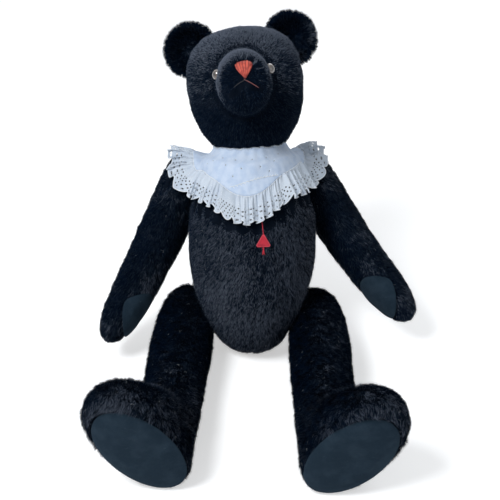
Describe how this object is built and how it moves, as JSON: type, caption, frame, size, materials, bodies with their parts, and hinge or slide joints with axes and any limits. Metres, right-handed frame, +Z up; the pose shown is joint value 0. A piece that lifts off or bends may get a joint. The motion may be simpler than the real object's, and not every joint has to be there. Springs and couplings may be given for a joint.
{
  "type": "jointed teddy bear",
  "caption": "Large dark plush bear, sitting, with disc-jointed head and limbs, felt paw pads and soles, and a white gathered eyelet collar.",
  "frame": {"origin": "middle of the flat spot under the body, on the surface that the bear sits on", "axes": "+Z up, -Y the way the bear faces, +X towards the bear's own left side"},
  "size_m": [0.4956, 0.5691, 0.4874],
  "materials": {
    "mohair": "short curly pile with a soft sheen, worn shorter on the head",
    "felt": "matt wool felt",
    "white_cotton": "plain woven cotton with cut eyelets",
    "eye_glass": "polished",
    "coral_thread": "satin stitch, slightly glossy",
    "red_card": "smooth, matt",
    "red_thread": "twisted thread",
    "hardboard": "bare pressed board",
    "steel": "plain zinc-plated"
  },
  "bodies": {
    "torso": {"collar_button": "white_cotton", "collar_frill": "white_cotton", "collar_yoke": "white_cotton", "left_arm_body_disc": "hardboard", "left_arm_body_washer": "steel", "left_leg_body_disc": "hardboard", "left_leg_body_washer": "steel", "neck_binding": "white_cotton", "neck_body_disc": "hardboard", "neck_body_washer": "steel", "right_arm_body_disc": "hardboard", "right_arm_body_washer": "steel", "right_leg_body_disc": "hardboard", "right_leg_body_washer": "steel", "tag_pendant": "red_card", "tag_tassel": "red_thread", "tag_thread": "red_thread", "torso": "mohair"},
    "head": {"head": "mohair", "left_ear": "mohair", "left_eye": "eye_glass", "left_mouth_stitch": "coral_thread", "neck_cotter_pin": "steel", "neck_limb_disc": "hardboard", "neck_limb_washer": "steel", "right_ear": "mohair", "right_eye": "eye_glass", "right_mouth_stitch": "coral_thread", "stitched_nose": "coral_thread"},
    "left_arm": {"left_arm": "mohair", "left_arm_cotter_pin": "steel", "left_arm_limb_disc": "hardboard", "left_arm_limb_washer": "steel", "left_paw_pad": "felt"},
    "right_arm": {"right_arm": "mohair", "right_arm_cotter_pin": "steel", "right_arm_limb_disc": "hardboard", "right_arm_limb_washer": "steel", "right_paw_pad": "felt"},
    "left_leg": {"left_foot_sole": "felt", "left_leg": "mohair", "left_leg_cotter_pin": "steel", "left_leg_limb_disc": "hardboard", "left_leg_limb_washer": "steel"},
    "right_leg": {"right_foot_sole": "felt", "right_leg": "mohair", "right_leg_cotter_pin": "steel", "right_leg_limb_disc": "hardboard", "right_leg_limb_washer": "steel"}
  },
  "joints": [
    {"name": "neck_turn", "type": "hinge", "parent": "torso", "child": "head", "pos_m": [0, 0.10189, 0.30584], "axis": [0, 0.3746, 0.9272], "range_deg": [-180, 180]},
    {"name": "left_arm_turn", "type": "hinge", "parent": "torso", "child": "left_arm", "pos_m": [0.06275, 0.11503, 0.2395], "axis": [0.7494, 0.6587, 0.0672], "range_deg": [-80, 60], "deforming": ["collar_yoke", "collar_frill", "neck_binding"]},
    {"name": "right_arm_turn", "type": "hinge", "parent": "torso", "child": "right_arm", "pos_m": [-0.07358, 0.098, 0.24216], "axis": [-0.8937, 0.4174, 0.1647], "range_deg": [-35, 105]},
    {"name": "left_leg_turn", "type": "hinge", "parent": "torso", "child": "left_leg", "pos_m": [0.06448, 0.00974, 0.06688], "axis": [0.9197, 0.0161, -0.3923], "range_deg": [-55, 65]},
    {"name": "right_leg_turn", "type": "hinge", "parent": "torso", "child": "right_leg", "pos_m": [-0.06471, 0.01574, 0.068], "axis": [-0.9174, 0.0674, -0.3923], "range_deg": [-65, 30]}
  ]
}
